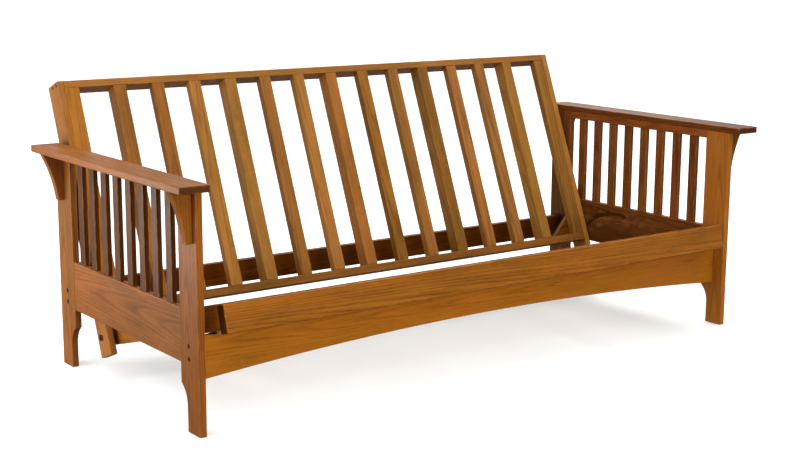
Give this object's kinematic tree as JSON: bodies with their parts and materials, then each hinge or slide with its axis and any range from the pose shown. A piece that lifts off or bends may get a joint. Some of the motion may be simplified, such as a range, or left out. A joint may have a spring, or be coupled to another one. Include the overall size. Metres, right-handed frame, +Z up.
{
  "type": "futon sofa bed",
  "caption": "Wooden bi-fold futon frame with slatted arms: its seat slides forward and its back folds down to make a flat slatted bed.",
  "frame": {"origin": "on the floor, below the middle of the whole frame's box in its sofa position", "axes": "+X along the sofa, to the right as seen from in front of it, +Y towards its back, +Z up"},
  "size_m": [2.106, 0.9912, 0.8405],
  "materials": {
    "arm_oak": "satin lacquer over reddish brown stained oak, open grain",
    "oak": "satin lacquer over golden brown stained oak, open grain",
    "hardwood": "plain turned dowel, waxed",
    "bronze": "dark bronze furniture bolts",
    "zinc": "zinc-plated nuts",
    "nylon": "black nylon, slightly worn"
  },
  "bodies": {
    "base": {"left_front_post": "arm_oak", "left_rear_post": "arm_oak", "left_armrest": "arm_oak", "left_top_rail": "arm_oak", "left_side_rail": "arm_oak", "left_arm_slats": "arm_oak", "left_front_corbel": "arm_oak", "left_rear_corbel": "arm_oak", "right_front_post": "arm_oak", "right_rear_post": "arm_oak", "right_armrest": "arm_oak", "right_top_rail": "arm_oak", "right_side_rail": "arm_oak", "right_arm_slats": "arm_oak", "right_front_corbel": "arm_oak", "right_rear_corbel": "arm_oak", "front_stretcher": "oak", "back_stretcher": "oak", "connector_bolts": "bronze", "barrel_nuts": "zinc", "back_rests": "nylon"},
    "roller": {"seat_rollers": "nylon"},
    "seat": {"seat_front_board": "oak", "seat_rear_rail": "oak", "left_seat_rail": "oak", "right_seat_rail": "oak", "seat_slats": "oak", "pivot_bolts": "bronze", "pivot_nuts": "zinc", "pivot_spacers": "nylon"},
    "back": {"left_back_board": "oak", "left_stile": "oak", "left_corner_block": "oak", "right_back_board": "oak", "right_stile": "oak", "right_corner_block": "oak", "back_top_rail": "oak", "back_bottom_rail": "oak", "rail_screws": "bronze", "guide_pins": "hardwood", "back_slat_1": "oak", "back_slat_2": "oak", "back_slat_3": "oak", "back_slat_4": "oak", "back_slat_5": "oak", "back_slat_6": "oak", "back_slat_7": "oak", "back_slat_8": "oak", "back_slat_9": "oak", "back_slat_10": "oak", "back_slat_11": "oak", "back_slat_12": "oak", "back_slat_13": "oak"}
  },
  "joints": [
    {"name": "seat_tilt", "type": "hinge", "parent": "base", "child": "roller", "pos_m": [0, -0.40157, 0.25], "axis": [1, 0, 0], "range_deg": [0, 16]},
    {"name": "seat_slide", "type": "slide", "parent": "roller", "child": "seat", "axis": [0, -0.9613, 0.2756], "range_m": [0, 0.2884]},
    {"name": "back_fold", "type": "hinge", "parent": "seat", "child": "back", "pos_m": [0, 0.18527, 0.11834], "axis": [-1, 0, 0], "range_deg": [0, 84]}
  ],
  "couplings": [
    {"joint": "seat_tilt", "follows": "back_fold", "ratio": 0.19048},
    {"joint": "seat_slide", "follows": "back_fold", "m_per_rad": 0.19672}
  ]
}
